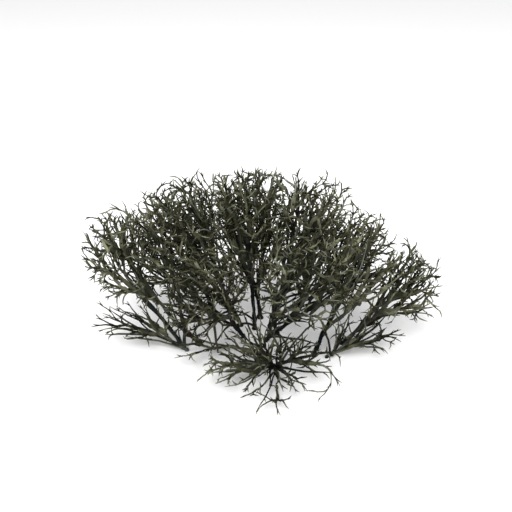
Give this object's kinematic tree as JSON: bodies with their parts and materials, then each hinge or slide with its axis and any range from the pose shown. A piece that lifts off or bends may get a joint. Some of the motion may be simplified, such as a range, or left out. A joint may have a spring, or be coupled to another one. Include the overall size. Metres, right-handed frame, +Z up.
{
  "type": "reindeer moss clump",
  "caption": "Loose domed clump of reindeer lichen: interlocked grey-olive stalks that stand on the ground and fork again and again into fine, sharp, star-like tips.",
  "frame": {"origin": "on the ground, under the middle of the clump's bounding box", "axes": "+X along the clump's width, its longest side, +Y from its low front spray to its back, +Z up"},
  "size_m": [0.1188, 0.0834, 0.061],
  "materials": {
    "lichen": null
  },
  "bodies": {
    "root": {"podetium_centre": "lichen", "podetium_top_left": "lichen", "podetium_top_right": "lichen", "podetium_left_shoulder": "lichen", "podetium_left_end": "lichen", "podetium_right_shoulder": "lichen", "podetium_right_end": "lichen", "podetium_back_centre": "lichen", "podetium_back_left": "lichen", "podetium_back_right": "lichen", "podetium_front_left": "lichen", "podetium_front_right": "lichen", "podetium_low_left": "lichen", "podetium_low_front_left": "lichen", "podetium_low_right": "lichen", "podetium_front_spray": "lichen", "podetium_front_tail": "lichen"}
  },
  "joints": []
}
